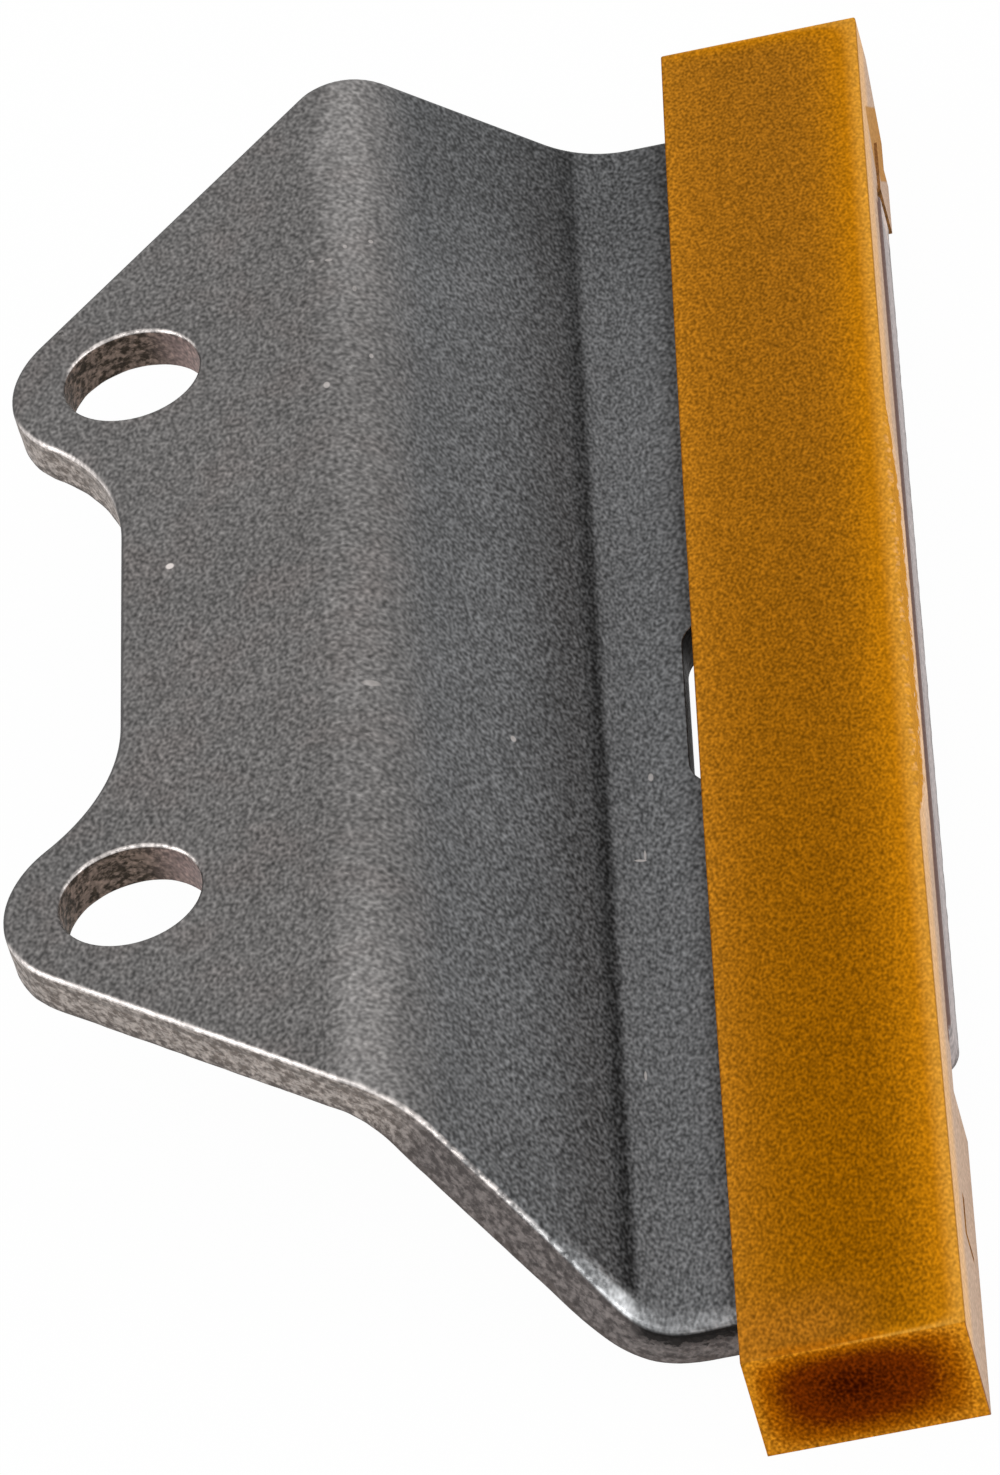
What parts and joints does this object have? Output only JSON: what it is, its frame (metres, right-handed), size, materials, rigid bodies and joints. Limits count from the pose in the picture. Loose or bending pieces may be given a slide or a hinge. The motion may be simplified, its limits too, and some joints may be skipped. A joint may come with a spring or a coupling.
{
  "type": "timing chain guide",
  "caption": "Timing chain guide: a bolt-on stamped steel bracket with a joggled flange that carries a long, gently crowned amber nylon wear shoe.",
  "frame": {"origin": "midway between the bolt holes, on the seat face under the pad", "axes": "+X from the bolt line to the shoe, +Y along the shoe to its end with the short block, +Z along the bolts, away from the seat"},
  "size_m": [0.0559, 0.129, 0.0151],
  "materials": {
    "steel": "matte tumbled grey steel with fine grain and burnished edges",
    "nylon": "satin translucent amber nylon"
  },
  "bodies": {
    "root": {"bracket": "steel", "shoe": "nylon"}
  },
  "joints": []
}
